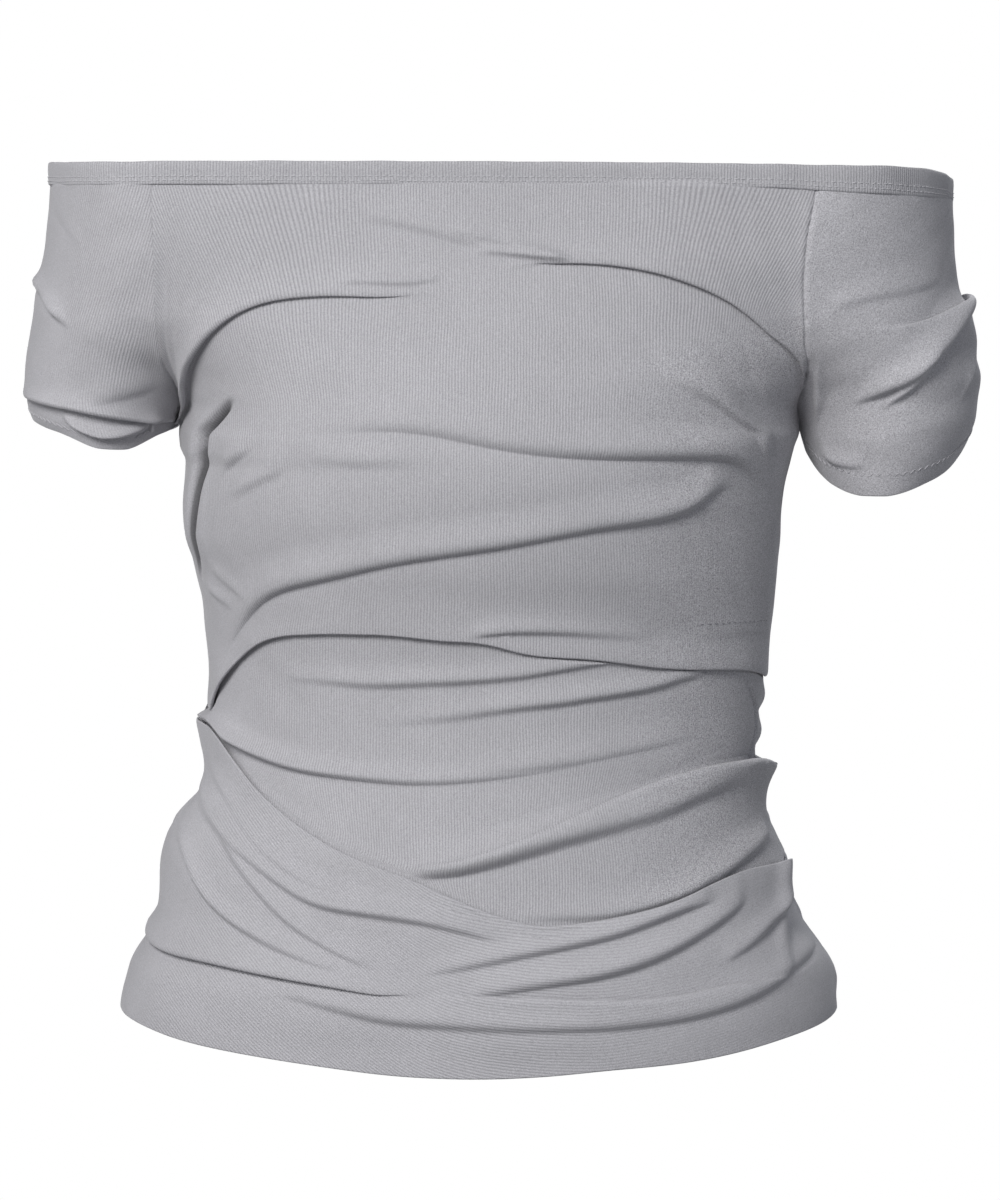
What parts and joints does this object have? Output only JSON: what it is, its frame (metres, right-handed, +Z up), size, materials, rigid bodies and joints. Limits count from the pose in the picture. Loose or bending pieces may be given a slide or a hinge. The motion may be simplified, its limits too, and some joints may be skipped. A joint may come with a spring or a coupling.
{
  "type": "draped off-shoulder top",
  "caption": "Off-shoulder top in fine rib jersey with short sleeves, a bound neckline and ruched drapes across a hollow body in its worn shape",
  "frame": {"origin": "the middle of the neckline, level with the top edge of the neck band, where the wearer holds it up", "axes": "+X to the wearer's left (the right of the picture), +Y to the wearer's back, +Z up; the draped front faces -Y"},
  "size_m": [0.4386, 0.2238, 0.4026],
  "materials": {
    "body_jersey": "fine rib jersey, matt with a faint sheen",
    "band_jersey": "the same jersey as a folded binding, coverstitched"
  },
  "bodies": {
    "root": {"neck_band": "band_jersey", "front_bodice": "body_jersey", "front_waist": "body_jersey", "front_hip_wrap": "body_jersey", "back_panel": "body_jersey", "right_sleeve": "body_jersey", "left_sleeve": "body_jersey"}
  },
  "joints": []
}
